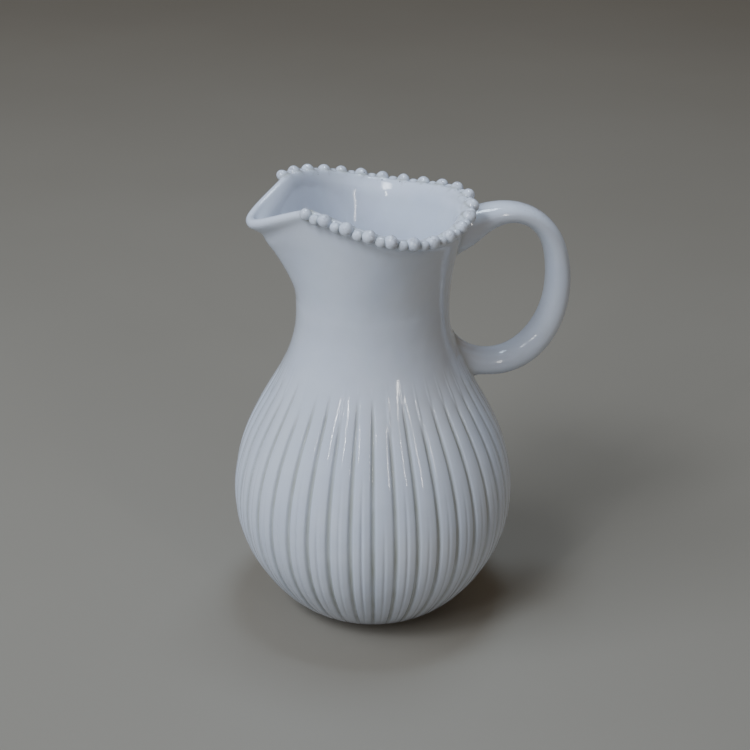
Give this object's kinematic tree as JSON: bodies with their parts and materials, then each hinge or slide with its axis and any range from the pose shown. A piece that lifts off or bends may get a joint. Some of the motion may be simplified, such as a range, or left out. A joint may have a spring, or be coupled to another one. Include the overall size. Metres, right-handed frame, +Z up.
{
  "type": "pitcher",
  "caption": "Ribbed white ceramic pitcher with a round belly, a narrow neck, a beaded rim, a pouring spout and a loop handle.",
  "frame": {"origin": "centre of the foot ring, on the plane it stands on", "axes": "+Z up along the vessel's axis; +X towards the handle; -X along the spout; the X-Z plane is the plane of symmetry"},
  "size_m": [0.1775, 0.146, 0.2323],
  "materials": {
    "glaze": "glossy white glaze"
  },
  "bodies": {
    "root": {"body": "glaze", "handle": "glaze", "rim_bead_01": "glaze", "rim_bead_02": "glaze", "rim_bead_03": "glaze", "rim_bead_04": "glaze", "rim_bead_05": "glaze", "rim_bead_06": "glaze", "rim_bead_07": "glaze", "rim_bead_08": "glaze", "rim_bead_09": "glaze", "rim_bead_10": "glaze", "rim_bead_11": "glaze", "rim_bead_12": "glaze", "rim_bead_13": "glaze", "rim_bead_14": "glaze", "rim_bead_15": "glaze", "rim_bead_16": "glaze", "rim_bead_17": "glaze", "rim_bead_18": "glaze", "rim_bead_19": "glaze", "rim_bead_20": "glaze", "rim_bead_21": "glaze", "rim_bead_22": "glaze", "rim_bead_23": "glaze"}
  },
  "joints": []
}
